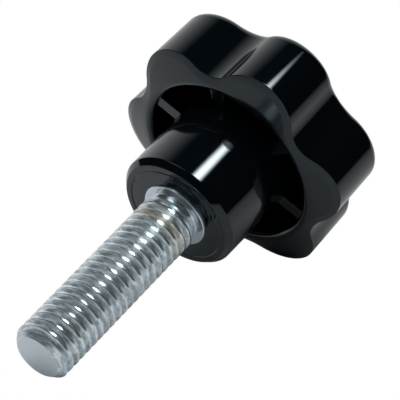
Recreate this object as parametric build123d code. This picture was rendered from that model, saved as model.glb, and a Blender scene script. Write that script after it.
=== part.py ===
"""Star knob with a male thread: a moulded knob body and the steel stud that is moulded into it.

Sizes are in millimetres. The origin is the centre of the hub's seating face, +Z runs out along the
stud, and one lobe points along +X. The knob lies below the origin and stands on its shallow dome.
"""
import os
from math import cos, radians, sin, sqrt, tan

from build123d import *

# Lobed rim
knob_dia = 42.6
lobe_count = 6
lobe_radius = 7.45
flute_radius = 5.95
edge_band_width = 1.2
edge_band_drop = 0.25
wall_draft = 1.2
top_edge_round = 2.0

# Domed top
knob_height = 28.2
dome_radius = 125.0
dome_flat_dia = 16.0

# Hollow underside
underside_drop = 13.3
underside_slope = 16.0
cavity_dia = 29.6
floor_thickness = 3.4
mouth_round = 1.0
floor_round = 0.8
rib_width = 2.4
rib_drop = 1.45

# Hub
hub_dia = 21.0
hub_draft = 0.8
hub_chamfer_width = 0.85
hub_chamfer_drop = 1.05
face_ring_inset = 1.95
face_ring_width = 0.3
face_ring_depth = 0.12

# Threaded stud
thread_dia = 10.0
stud_length = 35.0
tip_chamfer = 1.1
collar_ledge = 0.8
collar_proud = 0.33
collar_depth = 1.2
collar_edge_round = 0.15
neck_undercut = 0.8
neck_length = 0.95
neck_round = 0.4

# Anchor of the stud inside the hub
anchor_groove_depth = 0.9
anchor_groove_width = 3.0
anchor_groove_drop = 5.0
anchor_shank_length = 14.8
anchor_head_ledge = 1.5
anchor_head_height = 5.0

# How far a piece reaches into the one that it is joined to or cut from
merge_depth = 2.0

# Levels, radii and angles that follow
mouth_z = -underside_drop
rib_top_z = mouth_z - rib_drop
top_z = -knob_height
floor_z = top_z + floor_thickness
foot_z = floor_z - merge_depth / 2
hub_radius = hub_dia / 2
cavity_radius = cavity_dia / 2
lobe_step = 360 / lobe_count
flute_angle = lobe_step / 2


def half_section(corners, rounds=()):
    """A closed half-section through corners, each a (radius, height), with some of them rounded."""
    section = make_face(Polyline(*corners, close=True).edges())
    for corner, size in rounds:
        section = fillet(section.vertices().sort_by_distance(corner)[0], size)
    return Plane.XZ * section


def lobed_face(inset, level):
    """The lobed outline, drawn in by inset, as a flat face at the height level."""
    lobe_r = lobe_radius - inset
    flute_r = flute_radius + inset
    lobe_middle = Vector(knob_dia / 2 - lobe_radius, 0)
    across = lobe_middle.X * sin(radians(flute_angle))
    along = lobe_middle.X * cos(radians(flute_angle))
    flute_distance = along + sqrt((lobe_radius + flute_radius) ** 2 - across**2)
    flute_middle = Vector(flute_distance, 0).rotate(Axis.Z, flute_angle)
    meeting = lobe_middle + (flute_middle - lobe_middle).normalized() * lobe_r
    meeting_before = Vector(meeting.X, -meeting.Y)
    tip = lobe_middle + Vector(lobe_r, 0)
    valley = Vector(flute_distance - flute_r, 0).rotate(Axis.Z, flute_angle)
    lobe_arc = ThreePointArc(meeting_before, tip, meeting)
    flute_arc = ThreePointArc(meeting, valley, meeting_before.rotate(Axis.Z, lobe_step))
    arcs = [Rot(Z=lobe * lobe_step) * arc for lobe in range(lobe_count) for arc in (lobe_arc, flute_arc)]
    return Pos(0, 0, level) * Face(Wire(arcs))


def drafted_face(level):
    """The lobed outline at a level of the drafted wall, full size at the mouth of the hollow."""
    return lobed_face((mouth_z - level) * tan(radians(wall_draft)), level)


def underside_level(radius):
    """The height of the sloped underside at a radius, before its edges are finished."""
    return mouth_z - (radius - cavity_radius) * tan(radians(underside_slope))


def envelope_solid():
    """The space between the shallow dome with its flat middle and the sloped underside."""
    flat_radius = dome_flat_dia / 2
    centre_z = top_z + sqrt(dome_radius**2 - flat_radius**2)
    reach = knob_dia / 2 + merge_depth
    bow = (flat_radius + reach) / 2
    start = (flat_radius, top_z)
    middle = (bow, centre_z - sqrt(dome_radius**2 - bow**2))
    end = (reach, centre_z - sqrt(dome_radius**2 - reach**2))
    outline = [
        Line((0, top_z), start),
        ThreePointArc(start, middle, end),
        *Polyline(end, (reach, underside_level(reach)), (0, underside_level(0)), (0, top_z)).edges(),
    ]
    return revolve(Plane.XZ * make_face(outline), Axis.Z)


def rim_solid():
    """The lobed rim: drafted wall, domed top with a rounded edge, sloped underside with an edge band."""
    rim = loft([drafted_face(0), drafted_face(top_z)], ruled=True) & envelope_solid()
    underside = rim.faces().sort_by(Axis.Z)[-1]
    outline = underside.edges().filter_by(GeomType.LINE, reverse=True)
    rim = chamfer(outline, edge_band_width, edge_band_drop, reference=underside)
    dome_edges = rim.faces().filter_by(GeomType.SPHERE).edges()
    wall_edges = rim.faces().filter_by(GeomType.CONE).edges()
    return fillet([edge for edge in dome_edges if edge in wall_edges], top_edge_round)


def cavity_cut():
    """The round hollow under the knob, flared at its mouth and rounded at its floor."""
    flare_radius = cavity_radius + merge_depth
    floor_corner = (cavity_radius, floor_z)
    mouth_corner = (cavity_radius, mouth_z)
    corners = [
        (0, floor_z),
        floor_corner,
        mouth_corner,
        (flare_radius, underside_level(flare_radius)),
        (flare_radius, 0),
        (0, 0),
    ]
    rounds = [(floor_corner, floor_round), (mouth_corner, mouth_round)]
    return revolve(half_section(corners, rounds), Axis.Z)


def hub_solid():
    """The drafted hub, with the chamfer and the fine ring of its seating face."""
    shoulder_z = -hub_chamfer_drop
    foot_radius = hub_radius + (shoulder_z - foot_z) * tan(radians(hub_draft))
    ring_radius = hub_radius - face_ring_inset
    corners = [
        (0, foot_z),
        (foot_radius, foot_z),
        (hub_radius, shoulder_z),
        (hub_radius - hub_chamfer_width, 0),
        (ring_radius + face_ring_width / 2, 0),
        (ring_radius, -face_ring_depth),
        (ring_radius - face_ring_width / 2, 0),
        (0, 0),
    ]
    return revolve(half_section(corners), Axis.Z)


def rib_solids():
    """One radial rib behind each flute, from the hub to the wall of the hollow."""
    inner = hub_radius - merge_depth
    outer = cavity_radius + merge_depth / 2
    blade = Pos((inner + outer) / 2, 0, (foot_z + rib_top_z) / 2) * Box(
        outer - inner, rib_width, rib_top_z - foot_z
    )
    return [Rot(Z=flute_angle + rib * lobe_step) * blade for rib in range(lobe_count)]


def make_threaded_stud():
    """The stud: chamfered tip, thread blank, neck, collar and the anchor inside the hub."""
    thread_r = thread_dia / 2
    neck_r = thread_r - neck_undercut
    collar_r = thread_r + collar_ledge
    groove_r = thread_r - anchor_groove_depth
    neck_end = collar_proud + neck_length
    groove_top = -anchor_groove_drop
    groove_foot = groove_top - anchor_groove_width
    shank_foot = -collar_depth - anchor_shank_length
    neck_corner = (neck_r, collar_proud)
    collar_corner = (collar_r, collar_proud)
    corners = [
        (0, stud_length),
        (thread_r - tip_chamfer, stud_length),
        (thread_r, stud_length - tip_chamfer),
        (thread_r, neck_end + neck_undercut),
        (neck_r, neck_end),
        neck_corner,
        collar_corner,
        (collar_r, -collar_depth),
        (thread_r, -collar_depth),
        (thread_r, groove_top),
        (groove_r, groove_top),
        (groove_r, groove_foot),
        (thread_r, groove_foot),
        (thread_r, shank_foot),
        (0, shank_foot),
    ]
    rounds = [(neck_corner, neck_round), (collar_corner, collar_edge_round)]
    turned = revolve(half_section(corners, rounds), Axis.Z)
    head_r = thread_r + anchor_head_ledge
    hexagon = Pos(0, 0, shank_foot) * RegularPolygon(head_r, 6, major_radius=False)
    return turned + extrude(hexagon, -anchor_head_height)


def make_knob_body(stud):
    """The moulding, closed round the anchor of the stud."""
    hollow_rim = rim_solid() - cavity_cut()
    return hollow_rim + hub_solid() + rib_solids() - stud


threaded_stud = make_threaded_stud()
knob_body = make_knob_body(threaded_stud)

os.makedirs("parts", exist_ok=True)
export_step(knob_body, "parts/knob_body.step")
export_step(threaded_stud, "parts/threaded_stud.step")
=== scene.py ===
"""The star knob's looks: a finely modelled moulding, a stud with its real thread, soft light and the camera.

Sizes are in millimetres and times MM where they reach Blender. The frame is the CAD's: the origin is
the centre of the hub's seating face and +Z runs out along the stud.
"""

from math import cos, pi, radians, sin, sqrt, tan

import bmesh
import bpy
import numpy as np
from mathutils import Matrix, Vector


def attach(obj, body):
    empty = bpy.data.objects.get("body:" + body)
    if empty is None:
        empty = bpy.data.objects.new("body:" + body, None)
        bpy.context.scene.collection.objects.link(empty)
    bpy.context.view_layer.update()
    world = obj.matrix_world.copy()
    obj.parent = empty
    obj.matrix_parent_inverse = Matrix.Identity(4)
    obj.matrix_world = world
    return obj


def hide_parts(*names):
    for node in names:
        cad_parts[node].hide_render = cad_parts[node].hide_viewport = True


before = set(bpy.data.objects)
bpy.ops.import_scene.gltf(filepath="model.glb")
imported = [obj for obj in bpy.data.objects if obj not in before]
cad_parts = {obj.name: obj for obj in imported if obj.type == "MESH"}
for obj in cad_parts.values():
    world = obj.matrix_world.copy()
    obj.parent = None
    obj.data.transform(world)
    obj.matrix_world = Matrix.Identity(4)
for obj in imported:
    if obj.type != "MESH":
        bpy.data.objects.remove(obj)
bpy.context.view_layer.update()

MM = 0.001

# Lobed rim
knob_dia = 42.6
lobe_count = 6
lobe_radius = 7.45
flute_radius = 5.95
edge_band_width = 1.2
edge_band_drop = 0.25
edge_band_inner_round = 0.12
edge_band_outer_round = 0.14
wall_draft = 1.2
top_edge_round = 2.0

# Domed top
knob_height = 28.2
dome_radius = 125.0
dome_flat_dia = 16.0

# Hollow underside
underside_drop = 13.3
underside_slope = 16.0
cavity_dia = 29.6
floor_thickness = 3.4
mouth_round = 1.0
floor_round = 0.8
rib_width = 2.4
rib_drop = 1.45
rib_edge_round = 0.25

# Hub
hub_dia = 21.0
hub_draft = 0.8
hub_chamfer_width = 0.85
hub_chamfer_drop = 1.05
hub_edge_round = 0.24
face_ring_inset = 1.95
face_ring_width = 0.3
face_ring_depth = 0.12
face_ring_round = 0.05

# Threaded stud
thread_dia = 10.0
thread_pitch = 1.5
flank_angle = 60.0
crest_width = 0.44
crest_round = 0.07
crest_trim = 0.01
stud_length = 35.0
tip_chamfer = 1.1
tip_edge_round = 0.15
collar_ledge = 0.8
collar_proud = 0.33
collar_depth = 1.2
collar_edge_round = 0.15
neck_undercut = 0.8
neck_length = 0.95
neck_round = 0.4

# Anchor of the stud inside the hub
anchor_groove_depth = 0.9
anchor_groove_width = 3.0
anchor_groove_drop = 5.0
anchor_shank_length = 14.8
anchor_head_ledge = 1.5
anchor_head_height = 5.0

# How far a piece reaches into the one that it is joined to
merge_depth = 2.0
blank_overlap = 0.4

# Points closer than this are one point
merge_distance = 0.001

# Levels and radii that follow
mouth_z = -underside_drop
top_z = -knob_height
floor_z = top_z + floor_thickness
foot_z = floor_z - merge_depth / 2
neck_end = collar_proud + neck_length
hub_radius = hub_dia / 2
cavity_radius = cavity_dia / 2
thread_radius = thread_dia / 2
neck_radius = thread_radius - neck_undercut
collar_radius = thread_radius + collar_ledge
lobe_offset = knob_dia / 2 - lobe_radius

# How finely the curves are divided
lobe_steps = 56
flute_steps = 28
hub_columns = 256
turned_columns = 192
thread_columns = 120
underside_shares = (0.3, 0.6, 0.85)
dome_shares = (0.15, 0.3, 0.45, 0.6, 0.75, 0.9, 1.0)

# Where the rim's profile is read: a level, insets from the outline and the innermost ring
lobe_edge_z = mouth_z - 1.5
band_edge_inset = 0.05
dome_edge_inset = 0.3
band_lead = 0.6
dome_lead = 6.0
core_radius = 3.0


# Mesh tools


def rounded(corners, steps=6):
    """Points along a line through corners, each an (x, y, radius) whose x and y may be arrays."""
    points = [np.array(np.broadcast_arrays(x, y), float) for x, y, _ in corners]
    size = max(point.size // 2 for point in points)
    points = [np.broadcast_to(point.reshape(2, -1), (2, size)) for point in points]
    radii = [radius for _, _, radius in corners]
    line = [points[0]]
    for before, here, after, radius in zip(points, points[1:], points[2:], radii[1:]):
        if not radius:
            line.append(here)
            continue
        back = (before - here) / np.linalg.norm(before - here, axis=0)
        ahead = (after - here) / np.linalg.norm(after - here, axis=0)
        half = np.arccos(np.clip((back * ahead).sum(0), -1, 1)) / 2
        middle = back + ahead
        centre = here + middle / np.linalg.norm(middle, axis=0) * radius / np.sin(half)
        start = here + back * radius / np.tan(half) - centre
        end = here + ahead * radius / np.tan(half) - centre
        turn = np.arctan2(start[0] * end[1] - start[1] * end[0], (start * end).sum(0))
        for share in np.linspace(0, 1, steps + 1):
            c = np.cos(turn * share)
            s = np.sin(turn * share)
            line.append(centre + np.array([start[0] * c - start[1] * s, start[0] * s + start[1] * c]))
    line.append(points[-1])
    return line


def plain(line):
    """The points of a rounded line as (x, y) pairs of numbers."""
    return [(float(x[0]), float(y[0])) for x, y in line]


def mesh_object(name, points, faces):
    """A mesh object from points in millimetres, with its faces turned outwards."""
    mesh = bpy.data.meshes.new(name)
    mesh.from_pydata([Vector(point) * MM for point in points], [], faces)
    shape = bmesh.new()
    shape.from_mesh(mesh)
    bmesh.ops.recalc_face_normals(shape, faces=shape.faces)
    shape.to_mesh(mesh)
    shape.free()
    piece = bpy.data.objects.new(name, mesh)
    bpy.context.scene.collection.objects.link(piece)
    return piece


def skin(name, rings):
    """A closed mesh through rings of points, with a middle point closing each end."""
    count = len(rings[0])
    points = np.concatenate([*rings, [rings[0].mean(0)], [rings[-1].mean(0)]])
    first = len(points) - 2
    last = len(points) - 1
    top = (len(rings) - 1) * count
    faces = []
    for column in range(count):
        after = (column + 1) % count
        faces.append((first, after, column))
        faces.append((last, top + column, top + after))
        for row in range(0, top, count):
            faces.append((row + column, row + after, row + count + after, row + count + column))
    return mesh_object(name, points, faces)


def ring(directions, radius, level):
    """A ring of points, each at a radius along its own direction and at a level."""
    reach = directions * np.reshape(radius, (-1, 1))
    return np.column_stack([reach, np.broadcast_to(level, len(directions))])


def turned(name, section, columns=turned_columns):
    """A turned solid from a section of (radius, height) points that starts and ends on the axis."""
    angle = np.linspace(0, 2 * pi, columns, endpoint=False)
    around = np.stack([np.cos(angle), np.sin(angle)], 1)
    return skin(name, [ring(around, radius, level) for radius, level in plain(section[1:-1])])


def prism(name, outline, low, high):
    """A straight solid: an outline of (x, y) points between two heights."""
    return skin(name, [np.array([(x, y, z) for x, y in outline]) for z in (low, high)])


def apply_modifiers(piece):
    """Replaces the piece's mesh with what its modifiers make of it."""
    bpy.context.view_layer.update()
    graph = bpy.context.evaluated_depsgraph_get()
    result = bpy.data.meshes.new_from_object(piece.evaluated_get(graph))
    piece.modifiers.clear()
    piece.data = result


def combine(target, tool, operation):
    """Joins tool to target, cuts it away or keeps what they share, then removes tool."""
    step = target.modifiers.new(operation, "BOOLEAN")
    step.operation = operation
    step.object = tool
    step.solver = "MANIFOLD"
    apply_modifiers(target)
    bpy.data.objects.remove(tool)


def remove_slivers(piece):
    """Merges points that all but touch, and with them the slivers that joining and cutting leave."""
    shape = bmesh.new()
    shape.from_mesh(piece.data)
    bmesh.ops.remove_doubles(shape, verts=shape.verts, dist=merge_distance * MM)
    bmesh.ops.dissolve_degenerate(shape, edges=shape.edges, dist=merge_distance * MM)
    shape.to_mesh(piece.data)
    shape.free()


def finish_piece(piece, material, crease):
    """Gives a piece its material, and smooth shading that keeps flat faces flat and creases sharp."""
    piece.data.materials.clear()
    piece.data.materials.append(material)
    remove_slivers(piece)
    piece.data.shade_smooth()
    piece.data.set_sharp_from_angle(angle=radians(crease))
    weighted = piece.modifiers.new("weighted", "WEIGHTED_NORMAL")
    weighted.mode = "FACE_AREA"
    weighted.keep_sharp = True
    apply_modifiers(piece)


# The moulding


def lobed_outline():
    """Points round the lobed outline at the mouth of the hollow, and the outward direction at each."""
    half_step = pi / lobe_count
    across = lobe_offset * sin(half_step)
    along = lobe_offset * cos(half_step)
    flute_offset = along + sqrt((lobe_radius + flute_radius) ** 2 - across**2)
    flute_middle = flute_offset * np.array([cos(half_step), sin(half_step)])
    to_flute = flute_middle - np.array([lobe_offset, 0])
    lobe_half = np.arctan2(to_flute[1], to_flute[0])
    flute_half = lobe_half - half_step
    points = []
    outward = []
    for lobe in range(lobe_count):
        turn = 2 * half_step * lobe
        for angle in np.linspace(-lobe_half, lobe_half, lobe_steps, endpoint=False):
            away = np.array([cos(angle + turn), sin(angle + turn)])
            middle = lobe_offset * np.array([cos(turn), sin(turn)])
            points.append(middle + lobe_radius * away)
            outward.append(away)
        for angle in np.linspace(flute_half, -flute_half, flute_steps, endpoint=False):
            away = np.array([cos(angle + turn + half_step), sin(angle + turn + half_step)])
            middle = flute_offset * np.array([cos(turn + half_step), sin(turn + half_step)])
            points.append(middle - flute_radius * away)
            outward.append(away)
    return np.array(points), np.array(outward)


def underside_level(radius):
    """The height of the sloped underside at a radius."""
    return mouth_z - (radius - cavity_radius) * tan(radians(underside_slope))


def dome_level(radius):
    """The height of the shallow dome at a radius."""
    centre_z = top_z + sqrt(dome_radius**2 - (dome_flat_dia / 2) ** 2)
    return centre_z - np.sqrt(dome_radius**2 - np.maximum(radius, dome_flat_dia / 2) ** 2)


def wall_inset(level):
    """How far the drafted wall has drawn in at a level."""
    return (mouth_z - level) * tan(radians(wall_draft))


def make_rim():
    """The lobed rim with its hollow, as one skin from the floor of the hollow to the middle of the dome."""
    outline, outward = lobed_outline()

    def inset_outline(inset):
        """The outline's points, drawn in by one inset or by one for each point."""
        return outline - outward * np.reshape(inset, (-1, 1))

    def radius_at(inset):
        """How far those points lie from the axis."""
        return np.linalg.norm(inset_outline(inset), axis=1)

    # From the floor of the hollow up its wall, over the mouth and out to the edge band
    band = edge_band_width * cos(radians(underside_slope)) + wall_inset(lobe_edge_z)
    band_radius = radius_at(band)
    around = inset_outline(band) / band_radius[:, None]
    hollow = rounded(
        [
            (core_radius, floor_z, 0),
            (cavity_radius, floor_z, floor_round),
            (cavity_radius, mouth_z, mouth_round),
            (band_radius, underside_level(band_radius), 0),
        ]
    )
    rings = [ring(around, radius, level) for radius, level in hollow[:-1]]
    mouth_edge = hollow[-2][0]
    for share in underside_shares:
        radius = mouth_edge * (1 - share) + band_radius * share
        rings.append(ring(around, radius, underside_level(radius)))

    # Over the edge band, down the outer wall and round the edge of the dome
    rim_level = underside_level(radius_at(band_edge_inset)) - edge_band_drop
    wall_end = dome_level(radius_at(dome_edge_inset))
    wall = rounded(
        [
            (band + band_lead, underside_level(radius_at(band + band_lead)), 0),
            (band, underside_level(band_radius), edge_band_inner_round),
            (wall_inset(rim_level), rim_level, edge_band_outer_round),
            (wall_inset(wall_end), wall_end, top_edge_round),
            (dome_lead, dome_level(radius_at(dome_lead)), 0),
        ],
        steps=8,
    )
    for inset, level in wall[1:-1]:
        rings.append(np.column_stack([inset_outline(inset), level]))

    # Over the dome to its flat middle
    edge = rings[-1][:, :2]
    reach = np.linalg.norm(edge, axis=1)
    around = edge / reach[:, None]
    for share in dome_shares:
        radius = reach * (1 - share) + dome_flat_dia / 2 * share
        rings.append(ring(around, radius, dome_level(radius)))
    rings.append(ring(around, core_radius, top_z))
    return skin("knob_body_fine", rings)


def make_hub():
    """The drafted hub with a chamfered seating face and its fine ring."""
    shoulder_z = -hub_chamfer_drop
    foot_radius = hub_radius + (shoulder_z - foot_z) * tan(radians(hub_draft))
    face_ring_radius = hub_radius - face_ring_inset
    section = rounded(
        [
            (0, foot_z, 0),
            (foot_radius, foot_z, 0),
            (hub_radius, shoulder_z, hub_edge_round),
            (hub_radius - hub_chamfer_width, 0, hub_edge_round),
            (face_ring_radius + face_ring_width / 2, 0, face_ring_round),
            (face_ring_radius, -face_ring_depth, face_ring_round),
            (face_ring_radius - face_ring_width / 2, 0, face_ring_round),
            (core_radius, 0, 0),
            (0, 0, 0),
        ],
        steps=4,
    )
    return turned("hub", section, hub_columns)


def make_rib(azimuth):
    """One rib from the hub to the wall of the hollow, with its top edges rounded."""
    half = rib_width / 2
    top = mouth_z - rib_drop
    section = rounded(
        [
            (-half, foot_z, 0),
            (-half, top, rib_edge_round),
            (half, top, rib_edge_round),
            (half, foot_z, 0),
        ]
    )
    ends = (hub_radius - merge_depth, cavity_radius + merge_depth / 2)
    rib = skin("rib", [np.array([(x, y, z) for y, z in plain(section)]) for x in ends])
    rib.data.transform(Matrix.Rotation(radians(azimuth), 4, "Z"))
    return rib


def make_knob_body():
    """The moulding: rim, hub and ribs in one, with the room that the stud's anchor takes."""
    body = make_rim()
    combine(body, make_hub(), "UNION")
    for flute in range(lobe_count):
        combine(body, make_rib((flute + 0.5) * 360 / lobe_count), "UNION")
    combine(body, make_anchor(), "DIFFERENCE")
    return body


# The stud


def make_thread():
    """A rod of right-hand thread, longer at both ends than the stud that is cut from it."""
    sharp_depth = (thread_pitch - crest_width) / 2 * tan(radians(flank_angle))
    # A standard root is rounded by a sixth of the height of the thread's sharp triangle
    root_round = thread_pitch * sqrt(3) / 2 / 6
    crest = crest_width / 2
    spare_turns = 3
    profile = rounded(
        [
            (-crest, thread_radius, 0),
            (crest, thread_radius, crest_round),
            (thread_pitch / 2, thread_radius - sharp_depth, root_round),
            (thread_pitch - crest, thread_radius, crest_round),
            (thread_pitch, thread_radius, 0),
        ],
        steps=5,
    )
    profile = plain(profile[1:])
    turns = range(-spare_turns, int(stud_length / thread_pitch) + spare_turns + 1)
    rows = [(z + turn * thread_pitch, r) for turn in turns for z, r in profile]
    angles = np.linspace(0, 2 * pi, thread_columns, endpoint=False)
    points = [
        (r * cos(a), r * sin(a), z + thread_pitch * a / (2 * pi)) for z, r in rows for a in angles
    ]
    points.append((0, 0, rows[0][0] - thread_pitch))
    points.append((0, 0, rows[-1][0] + 2 * thread_pitch))
    foot = len(points) - 2
    tip = len(points) - 1
    count = len(profile)

    def at(row, column):
        """The point of a row at a column. The same helix goes on one pitch further up after a full turn."""
        return row * thread_columns + column if column < thread_columns else (row + count) * thread_columns

    last = len(rows) - 1 - count
    faces = []
    for row in range(last):
        for column in range(thread_columns):
            faces.append((at(row, column), at(row, column + 1), at(row + 1, column + 1), at(row + 1, column)))
    faces += [(foot, at(0, column + 1), at(0, column)) for column in range(thread_columns)]
    faces += [(foot, at(row, 0), at(row + 1, 0)) for row in range(count)]
    faces += [(tip, at(last, column), at(last, column + 1)) for column in range(thread_columns)]
    faces += [(tip, at(row + 1, 0), at(row, 0)) for row in range(last, last + count)]
    used = sorted({point for face in faces for point in face})
    place = {point: index for index, point in enumerate(used)}
    faces = [tuple(place[point] for point in face) for face in faces]
    return mesh_object("threaded_stud_fine", [points[point] for point in used], faces)


def make_stud_blank():
    """The turned blank that limits the thread: a neck cone, the full diameter and a chamfered tip."""
    blank_radius = thread_radius - crest_trim
    section = rounded(
        [
            (0, neck_end - blank_overlap, 0),
            (neck_radius, neck_end - blank_overlap, 0),
            (neck_radius, neck_end, 0),
            (blank_radius, neck_end + blank_radius - neck_radius, 0),
            (blank_radius, stud_length - tip_chamfer, 0),
            (blank_radius - tip_chamfer, stud_length, tip_edge_round),
            (0, stud_length, 0),
        ],
        steps=4,
    )
    return turned("stud_blank", section)


def make_anchor():
    """The collar, neck and hidden anchor of the stud."""
    groove_radius = thread_radius - anchor_groove_depth
    groove_top = -anchor_groove_drop
    groove_foot = groove_top - anchor_groove_width
    shank_foot = -collar_depth - anchor_shank_length
    shank_end = shank_foot - merge_depth / 2
    section = rounded(
        [
            (0, shank_end, 0),
            (thread_radius, shank_end, 0),
            (thread_radius, groove_foot, 0),
            (groove_radius, groove_foot, 0),
            (groove_radius, groove_top, 0),
            (thread_radius, groove_top, 0),
            (thread_radius, -collar_depth, 0),
            (collar_radius, -collar_depth, 0),
            (collar_radius, collar_proud, collar_edge_round),
            (neck_radius, collar_proud, neck_round),
            (neck_radius, neck_end, 0),
            (0, neck_end, 0),
        ],
    )
    anchor = turned("anchor", section)
    corner = (thread_radius + anchor_head_ledge) / cos(pi / 6)
    hexagon = [(corner * cos(a), corner * sin(a)) for a in np.linspace(0, 2 * pi, 6, endpoint=False)]
    combine(anchor, prism("head", hexagon, shank_foot - anchor_head_height, shank_foot), "UNION")
    return anchor


def make_threaded_stud():
    """The stud: thread cut to its blank, joined to the neck, the collar and the anchor."""
    rod = make_thread()
    combine(rod, make_stud_blank(), "INTERSECT")
    combine(rod, make_anchor(), "UNION")
    return rod


# Materials


class Nodes:
    """A short way to write a material's node tree."""

    def __init__(self, name):
        self.material = bpy.data.materials.new(name)
        self.material.use_nodes = True
        self.tree = self.material.node_tree
        self.tree.nodes.clear()

    def add(self, kind, inputs=None, **settings):
        """A node with its settings, each of its inputs linked from a socket or set to a value."""
        node = self.tree.nodes.new(kind)
        for name, value in settings.items():
            setattr(node, name, value)
        for socket, value in (inputs or {}).items():
            if isinstance(value, bpy.types.NodeSocket):
                self.tree.links.new(value, node.inputs[socket])
            else:
                node.inputs[socket].default_value = value
        return node

    def place(self):
        """A point's place in the frame, its distance from the stud's axis and its height."""
        place = self.add("ShaderNodeTexCoord").outputs["Object"]
        axes = self.add("ShaderNodeSeparateXYZ", {"Vector": place}).outputs
        flat_place = self.add("ShaderNodeCombineXYZ", {"X": axes["X"], "Y": axes["Y"]}).outputs[0]
        radius = self.add("ShaderNodeVectorMath", {0: flat_place}, operation="LENGTH").outputs["Value"]
        return place, radius, axes["Z"]

    def facing_up(self):
        """How far the surface faces along the stud, from -1 to 1."""
        normal = self.add("ShaderNodeNewGeometry").outputs["Normal"]
        return self.add("ShaderNodeSeparateXYZ", {"Vector": normal}).outputs["Z"]

    def math(self, operation, a, b):
        """One step of arithmetic on two numbers."""
        return self.add("ShaderNodeMath", {0: a, 1: b}, operation=operation).outputs[0]

    def ramp(self, value, low, high, out_low=0.0, out_high=1.0):
        """A soft step from out_low to out_high as value goes from low to high."""
        node = self.add(
            "ShaderNodeMapRange",
            {"Value": value, "From Min": low, "From Max": high, "To Min": out_low, "To Max": out_high},
            interpolation_type="SMOOTHSTEP",
        )
        return node.outputs["Result"]

    def zone(self, distance, low, high, out_low=0.0, out_high=1.0):
        """A soft step along a distance, from low to high millimetres."""
        return self.ramp(distance, low * MM, high * MM, out_low, out_high)

    def noise(self, vector, wavelength, detail=2.0, roughness=0.5):
        """Noise with features about wavelength millimetres across."""
        node = self.add(
            "ShaderNodeTexNoise",
            {"Vector": vector, "Scale": 1 / (wavelength * MM), "Detail": detail, "Roughness": roughness},
        )
        return node.outputs["Fac"]

    def blend(self, factor, a, b):
        """A number between a and b."""
        return self.add("ShaderNodeMix", {"Factor": factor, "A": a, "B": b}, data_type="FLOAT").outputs[0]

    def tint(self, factor, a, b):
        """A colour between a and b."""
        return self.add("ShaderNodeMix", {"Factor": factor, "A": a, "B": b}, data_type="RGBA").outputs[2]

    def colours(self, value, first, last, low=0.0, high=1.0):
        """A colour from first to last as value goes from low to high."""
        node = self.add("ShaderNodeValToRGB", {"Fac": value})
        for stop, position, colour in zip(node.color_ramp.elements, (low, high), (first, last)):
            stop.position = position
            stop.color = colour
        return node.outputs["Color"]

    def bump(self, height, strength, distance, **under):
        """A normal bent by a height of up to distance millimetres, over the normal under it."""
        inputs = {"Strength": strength, "Distance": distance * MM, "Height": height}
        return self.add("ShaderNodeBump", {**inputs, **under}).outputs["Normal"]

    def finish(self, surface):
        """The material, ending in a surface shader."""
        self.add("ShaderNodeOutputMaterial", {"Surface": surface.outputs[0]})
        return self.material


def plastic_material():
    """Black moulded plastic: glossy outside, satin underneath, with the faint ripple of a moulding."""
    dark = (0.0012, 0.0028, 0.0041, 1)
    light = (0.0020, 0.0038, 0.0053, 1)
    cool_sheen = (0.8, 0.93, 1.0, 1)
    glossy = (0.05, 0.08)
    satin = (0.13, 0.17)
    # Satin begins where the surface faces up this far, and this far from the axis, outside the hub
    satin_facing = (0.75, 0.9)
    satin_radius = (11.5, 12.0)
    mottle_size = 4.0
    mottle_span = (0.3, 0.7)
    ripple_size = 2.2
    ripple_strength = 0.12
    ripple_depth = 0.02
    grain_size = 0.18
    grain_strength = (0.04, 0.2)
    grain_depth = 0.004

    n = Nodes("black_plastic")
    place, radius, _ = n.place()
    upward = n.ramp(n.facing_up(), *satin_facing)
    underneath = n.math("MULTIPLY", upward, n.zone(radius, *satin_radius))
    mottle = n.noise(place, mottle_size, detail=3.0)
    gloss_roughness = n.ramp(mottle, *mottle_span, *glossy)
    satin_roughness = n.ramp(mottle, *mottle_span, *satin)
    ripple = n.bump(n.noise(place, ripple_size, detail=1.0), ripple_strength, ripple_depth)
    grained = n.ramp(underneath, 0, 1, *grain_strength)
    grain = n.bump(n.noise(place, grain_size), grained, grain_depth, Normal=ripple)
    surface = n.add(
        "ShaderNodeBsdfPrincipled",
        {
            "Base Color": n.colours(mottle, dark, light),
            "Roughness": n.blend(underneath, gloss_roughness, satin_roughness),
            "Normal": grain,
            "IOR": 1.5,
            "Specular Tint": cool_sheen,
        },
    )
    return n.finish(surface)


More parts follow.
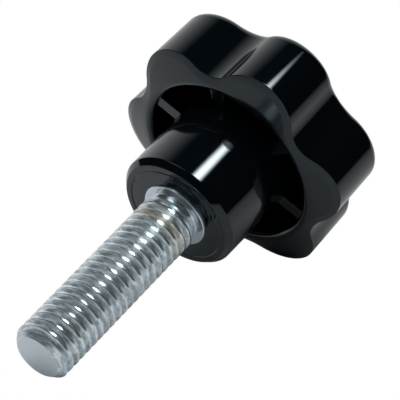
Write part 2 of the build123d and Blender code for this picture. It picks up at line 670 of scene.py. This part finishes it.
def zinc_material():
    """Bluish zinc plating: streaked by the rolling, burnished on the crests, warmer near the hub, and with
    painted shade darkening the end face.
    """
    shaded_blue = (0.64, 0.76, 0.82, 1)
    bright_blue = (0.80, 0.905, 0.95, 1)
    warm = (0.76, 0.69, 0.56, 1)
    bright_crest = (0.84, 0.93, 0.97, 1)
    dark_streak = (0.26, 0.29, 0.31, 1)
    # Painted shade: a darker colour for the tip's end face, which faces straight out along the stud
    end_face_painted_shade = (0.55, 0.63, 0.68, 1)
    # Where the crests are burnished, by radius, and where the warm zone and the turned neck lie, by height
    crest_zone = (4.86, 4.95)
    warm_start = (3.0, 5.0)
    warm_end = (7.5, 5.5)
    warm_share = 0.75
    turned_end = (2.8, 1.8)
    # The sides are all that doesn't face straight out along the stud, as the end face does
    side_facing = (0.97, 0.92)
    patch_size = 1.6
    patch_span = (0.3, 0.7)
    # The rolling leaves its marks round the stud: they are several times as long as they are wide
    scratch_size = 0.42
    scratch_stretch = (0.22, 0.22, 1.0)
    scratch_span = (0.42, 0.54)
    scratch_strength = 0.9
    scratch_depth = 0.035
    streak_share = 0.6
    speck_size = 0.22
    speck_span = (0.35, 0.65)
    speck_strength = 0.35
    speck_depth = 0.012
    dull = (0.28, 0.40)
    burnished = 0.18
    freshly_turned = 0.15

    n = Nodes("zinc_plating")
    place, radius, height = n.place()
    stretched = {0: place, 1: scratch_stretch}
    rolled = n.add("ShaderNodeVectorMath", stretched, operation="MULTIPLY").outputs[0]
    patches = n.noise(place, patch_size, detail=4.0, roughness=0.65)
    scratches = n.noise(rolled, scratch_size, detail=3.0, roughness=0.7)
    specks = n.noise(place, speck_size)

    crest = n.zone(radius, *crest_zone)
    side = n.ramp(n.facing_up(), *side_facing)
    warmth = n.math("MULTIPLY", n.zone(height, *warm_start), n.zone(height, *warm_end, 0.0, warm_share))
    streaks = n.math("MULTIPLY", n.ramp(scratches, *scratch_span, streak_share, 0.0), side)

    plating = n.colours(patches, shaded_blue, bright_blue, *patch_span)
    plating = n.tint(warmth, plating, warm)
    plating = n.tint(crest, plating, bright_crest)
    plating = n.tint(streaks, plating, dark_streak)
    # Painted shade: where the surface faces straight out along the stud, the end face is painted darker
    plating = n.tint(side, end_face_painted_shade, plating)
    roughness = n.blend(crest, n.ramp(specks, *speck_span, *dull), burnished)
    roughness = n.blend(n.zone(height, *turned_end), roughness, freshly_turned)
    scratched = n.bump(scratches, scratch_strength, scratch_depth)
    bumps = n.bump(specks, speck_strength, speck_depth, Normal=scratched)
    surface = n.add(
        "ShaderNodeBsdfPrincipled",
        {
            "Base Color": plating,
            "Roughness": roughness,
            "Normal": bumps,
            "Metallic": 0.82,
            "Coat Weight": 0.6,
            "Coat Roughness": 0.14,
            "Coat Normal": bumps,
        },
    )
    return n.finish(surface)


# The pieces

knob = make_knob_body()
finish_piece(knob, plastic_material(), crease=28)
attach(knob, "root")
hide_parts("knob_body")

stud = make_threaded_stud()
finish_piece(stud, zinc_material(), crease=35)
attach(stud, "root")
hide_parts("threaded_stud")


# Stage, light and camera


def direction(azimuth, elevation):
    """A unit vector from angles in degrees."""
    a = radians(azimuth)
    e = radians(elevation)
    return Vector((cos(e) * cos(a), cos(e) * sin(a), sin(e)))


def turn_to(x_way, y_way, z_way):
    """The turn that takes x, y and z to three directions."""
    return Matrix((x_way, y_way, z_way)).transposed().to_4x4()


camera_target = Vector((2.11, -1.58, -3.70))
camera_right = Vector((0.25660, -0.76769, -0.58720))
camera_up = Vector((0.48368, 0.62799, -0.60966))
camera_back = Vector((0.83679, -0.12758, 0.53246))
camera_distance = 390.0
camera_lens = 222.2
camera_sensor = 36
camera_near = 10
camera_far = 5000

# In the photograph the knob lay on two lobes and the tip of the stud, on a lit white sheet. What it
# reflects stays in that place: x is the picture's right, y leads away from the camera and z is up.
sheet_up = direction(azimuth=30.0, elevation=-16.3)
sheet_drop = 14.34
sheet_away = sheet_up.cross(camera_right).normalized()
sheet_right = sheet_away.cross(sheet_up)
sheet_turn = turn_to(sheet_right, sheet_away, sheet_up)
sheet_place = Matrix.Translation(-sheet_up * sheet_drop * MM) @ sheet_turn

# The sheet, and the sweep that stands behind it. Soft is the share that fades out at the left, the
# right, the near or low side and the far or high side.
sheet_corner = (-420, -330, 0)
sheet_width = (800, 0, 0)
sheet_depth = (0, 590, 0)
sheet_soft = (0.1, 0.42, 0.34, 0)
sweep_corner = (-330, 260, 0)
sweep_width = (600, 0, 0)
sweep_height = (0, 20, 560)
sweep_soft = (0.1, 0.1, 0, 0.88)
sweep_strength = 0.86
fine_steps = 40

# The lamp close to the hub, in the CAD's frame
lamp_middle = Vector((70.0, 9.0, -36.0))
lamp_azimuth = 99.0
lamp_half_width = 14.8
lamp_half_height = 33.0
lamp_across = direction(lamp_azimuth, 0) * lamp_half_width
lamp_along = Vector((0, 0, lamp_half_height))
lamp_strength = 32.0
lamp_taper = 0.4

# The softbox to the front and left, facing the knob, in the sheet's frame
softbox_azimuth = -155
softbox_elevation = 50
softbox_distance = 300
softbox_half_width = 160
softbox_half_height = 52
softbox_middle = direction(softbox_azimuth, softbox_elevation) * softbox_distance
softbox_across = direction(softbox_azimuth + 90, 0) * softbox_half_width
softbox_along = direction(softbox_azimuth + 180, 90 - softbox_elevation) * softbox_half_height
softbox_strength = 4.0

# How steeply the lamp and the softbox fade out from their middles
glow_fade = 2.5

# What only the camera sees
floor_size = 2600
floor_strength = 1.0
backdrop_radius = 1400
backdrop_strength = 1.0

# Matt white paper, and the dim cool light of the room
paper_colour = (0.85, 0.86, 0.87, 1)
room_colour = (0.7, 0.95, 1.0, 1)
room_strength = 0.012


def glow_material(name, strength):
    """Plain white light, scaled by the piece's own fade."""
    n = Nodes(name)
    fade = n.add("ShaderNodeAttribute", attribute_name="fade").outputs["Fac"]
    glow = {"Color": (1, 1, 1, 1), "Strength": n.math("MULTIPLY", fade, strength)}
    return n.finish(n.add("ShaderNodeEmission", glow))


def paper_material():
    """Matt white paper that fades out with the piece's own fade."""
    n = Nodes("white_paper")
    fade = n.add("ShaderNodeAttribute", attribute_name="fade").outputs["Fac"]
    paper = n.add("ShaderNodeBsdfDiffuse", {"Color": paper_colour}).outputs[0]
    clear = n.add("ShaderNodeBsdfTransparent").outputs[0]
    return n.finish(n.add("ShaderNodeMixShader", {0: fade, 1: clear, 2: paper}))


def set_fade(mesh, fades):
    """Gives each of a mesh's points its own fade, from 0 for gone to 1 for full."""
    mesh.attributes.new("fade", "FLOAT", "POINT").data.foreach_set("value", fades)


def faded_grid(name, points, fades, steps, material):
    """A stage piece from a square grid of points, each with its own fade, that the camera doesn't see."""
    faces = []
    for row in range(steps):
        for column in range(steps):
            at = row * (steps + 1) + column
            faces.append((at, at + 1, at + steps + 2, at + steps + 1))
    piece = mesh_object(name, points, faces)
    set_fade(piece.data, fades)
    piece.data.materials.append(material)
    piece.visible_camera = False
    piece.visible_shadow = False
    return piece


def panel(name, corner, across, along, material, soft=(0, 0, 0, 0), steps=20):
    """A flat stage piece from a corner and two sides, fading out over a share of it at each edge."""
    points = []
    fades = []
    for v in np.linspace(0, 1, steps + 1):
        for u in np.linspace(0, 1, steps + 1):
            points.append(Vector(corner) + Vector(across) * u + Vector(along) * v)
            fade = 1.0
            for share, width in zip((u, 1 - u, v, 1 - v), soft):
                step = min(share / width, 1.0) if width else 1.0
                fade *= step * step * (3 - 2 * step)
            fades.append(fade)
    return faded_grid(name, points, fades, steps, material)


def soft_lamp(name, middle, across, along, strength, taper=0):
    """A glowing oval that fades out from its middle and narrows by taper towards its foot."""
    points = []
    fades = []
    for v in np.linspace(-1, 1, fine_steps + 1):
        for u in np.linspace(-1, 1, fine_steps + 1):
            points.append(middle + across * u * (1 + taper * v) + along * v)
            fades.append(max(1 - u * u - v * v, 0.0) ** glow_fade)
    piece = faded_grid(name, points, fades, fine_steps, glow_material(name + "_glow", strength))
    piece.visible_diffuse = False
    return piece


def camera_only(piece):
    """Shows a stage piece to the camera and keeps it out of reflections and shadows."""
    piece.visible_camera = True
    piece.visible_diffuse = False
    piece.visible_glossy = False
    piece.visible_transmission = False
    piece.visible_volume_scatter = False
    piece.visible_shadow = False


def make_backdrop():
    """A white ball round the object, which only the camera sees."""
    shape = bmesh.new()
    bmesh.ops.create_icosphere(shape, subdivisions=4, radius=backdrop_radius * MM)
    mesh = bpy.data.meshes.new("backdrop")
    shape.to_mesh(mesh)
    shape.free()
    set_fade(mesh, np.ones(len(mesh.vertices)))
    mesh.materials.append(glow_material("backdrop_white", backdrop_strength))
    piece = bpy.data.objects.new("backdrop", mesh)
    bpy.context.scene.collection.objects.link(piece)
    return piece


def area_light(name, place, size, energy):
    """A square light at a place in the sheet's frame, facing down on the sheet, kept out of reflections."""
    data = bpy.data.lights.new(name, "AREA")
    data.shape = "SQUARE"
    data.size = size * MM
    data.energy = energy
    light = bpy.data.objects.new(name, data)
    bpy.context.scene.collection.objects.link(light)
    light.matrix_world = sheet_place @ Matrix.Translation(Vector(place) * MM)
    light.visible_glossy = False
    light.visible_camera = False


sheet = panel("sheet", sheet_corner, sheet_width, sheet_depth, paper_material(), sheet_soft, fine_steps)
sheet.matrix_world = sheet_place
sweep_glow = glow_material("sweep_glow", sweep_strength)
sweep = panel("sweep", sweep_corner, sweep_width, sweep_height, sweep_glow, sweep_soft, fine_steps)
sweep.matrix_world = sheet_place
soft_lamp("lamp", lamp_middle, lamp_across, lamp_along, lamp_strength, lamp_taper)
softbox = soft_lamp("softbox", softbox_middle, softbox_across, softbox_along, softbox_strength)
softbox.matrix_world = sheet_place

area_light("fill", place=(30, 0, 450), size=500, energy=1.7)
area_light("window", place=(-350, 140, 280), size=250, energy=0.5)
area_light("front", place=(-320, -360, 250), size=200, energy=0.45)

floor_corner = (-floor_size / 2, -floor_size / 2, top_z)
floor_glow = glow_material("floor_white", floor_strength)
camera_only(panel("floor", floor_corner, (floor_size, 0, 0), (0, floor_size, 0), floor_glow))
camera_only(make_backdrop())

world = bpy.data.worlds.new("dim_room")
world.use_nodes = True
world.node_tree.nodes["Background"].inputs["Color"].default_value = room_colour
world.node_tree.nodes["Background"].inputs["Strength"].default_value = room_strength
bpy.context.scene.world = world
bpy.context.scene.view_settings.view_transform = "Standard"

lens = bpy.data.cameras.new("camera")
lens.sensor_width = camera_sensor
lens.lens = camera_lens
lens.clip_start = camera_near * MM
lens.clip_end = camera_far * MM
camera = bpy.data.objects.new("camera", lens)
camera_place = Matrix.Translation((camera_target + camera_back * camera_distance) * MM)
camera.matrix_world = camera_place @ turn_to(camera_right, camera_up, camera_back)
bpy.context.scene.collection.objects.link(camera)
bpy.context.scene.camera = camera
